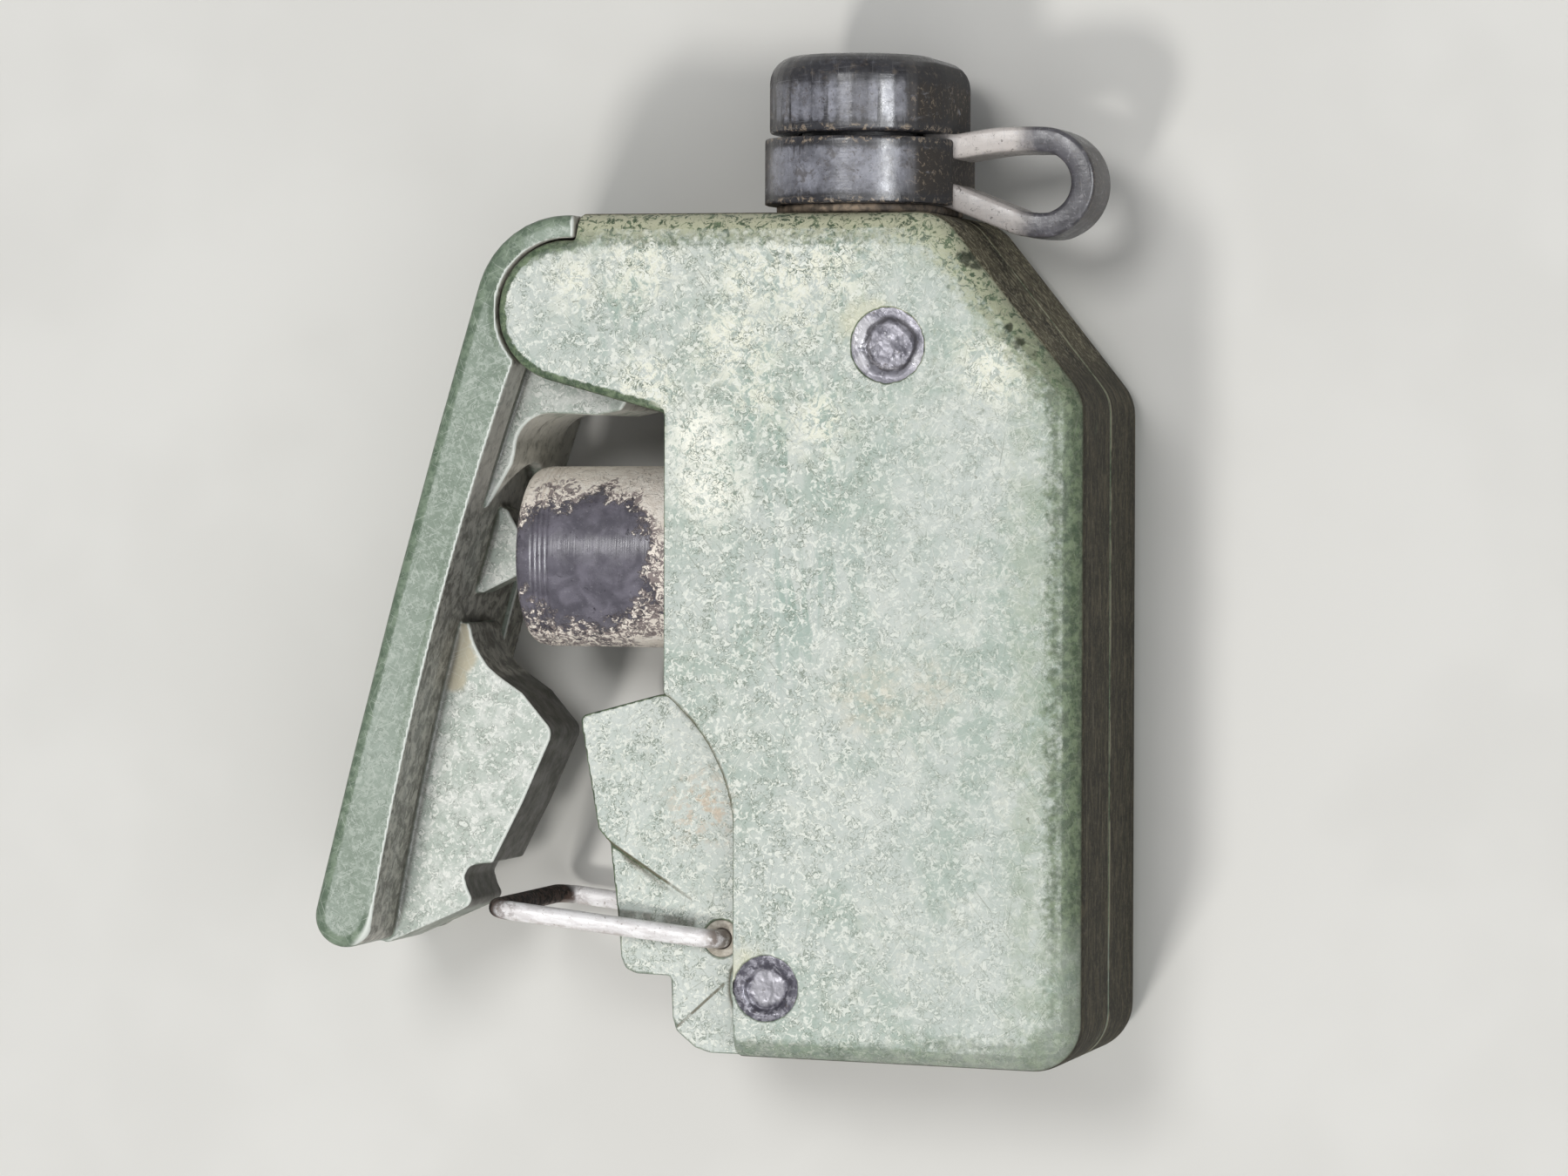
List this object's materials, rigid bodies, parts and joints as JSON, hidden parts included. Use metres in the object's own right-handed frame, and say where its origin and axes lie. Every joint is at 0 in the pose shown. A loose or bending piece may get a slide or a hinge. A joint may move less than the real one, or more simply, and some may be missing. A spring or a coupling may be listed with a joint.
{
  "type": "squeeze-lever firing device, inert replica",
  "caption": "Inert replica of a hand-held squeeze-lever firing device: riveted shells, sprung lever, plunger, wire safety bail and capped blank outlet.",
  "frame": {"origin": "middle of the outline, on the back face that it lies on", "axes": "+X from the lever to the flank, +Y from the heel to the dust cap, +Z out of the front face"},
  "size_m": [0.0794, 0.1016, 0.0318],
  "materials": {
    "body_plastic": "pale grey-green moulded plastic, speckled, stained with cream and brown, darker on rubbed edges",
    "lever_plastic": "smooth grey-green moulded plastic, darker green on the outer edges",
    "filler": "plain grey",
    "rivet_metal": "dull dark grey, rough, with rubbed bright spots",
    "inner_steel": "plain drawn steel",
    "plunger_plastic": "glossy turned black plastic with dried tan mud",
    "bush_plastic": "black plastic",
    "bush_cream": "cream plastic",
    "cap_rubber": "semi-gloss black rubber, tan dirt in the joints",
    "strap_rubber": "dusty grey-black rubber",
    "bail_wire": "dull drawn wire, browned on the cross bar"
  },
  "bodies": {
    "root": {"front_shell": "body_plastic", "back_shell": "body_plastic", "inert_block": "filler", "upper_rivet": "rivet_metal", "lower_rivet": "rivet_metal", "lever_pin": "inner_steel", "plunger_spring": "inner_steel", "spring_washer": "inner_steel", "stem_guide": "rivet_metal", "plunger_bush": "bush_plastic", "plunger_seal": "cap_rubber", "bail_bushes": "bush_cream", "outlet_stub": "bush_plastic", "outlet_gasket": "cap_rubber", "cap_collar": "cap_rubber", "cap_strap": "strap_rubber"},
    "lever": {"lever": "lever_plastic"},
    "plunger": {"plunger_cap": "plunger_plastic", "plunger_stem": "inner_steel", "retaining_ring": "inner_steel"},
    "bail": {"safety_bail": "bail_wire"},
    "cap": {"dust_cap": "cap_rubber"}
  },
  "joints": [
    {"name": "lever_squeeze", "type": "hinge", "parent": "root", "child": "lever", "pos_m": [-0.0131, 0.0249, 0.01588], "axis": [0, 0, 1], "range_deg": [0, 17], "stiffness_Nm_per_rad": 0.6, "springref_deg": -5.73},
    {"name": "plunger_press", "type": "slide", "parent": "root", "child": "plunger", "axis": [1, 0, 0], "range_m": [0, 0.0078], "deforming": ["plunger_spring"]},
    {"name": "bail_swing", "type": "hinge", "parent": "root", "child": "bail", "pos_m": [0.0019, -0.0384, 0.01588], "axis": [0, 0, 1], "range_deg": [0, 65]},
    {"name": "cap_pull", "type": "slide", "parent": "root", "child": "cap", "axis": [0, 1, 0], "range_m": [0, 0.012], "deforming": ["cap_strap"]}
  ],
  "couplings": [
    {"joint": "plunger_press", "follows": "lever_squeeze", "m_per_rad": 0.026},
    {"joint": "bail_swing", "follows": "lever_squeeze", "ratio": 3.82}
  ]
}
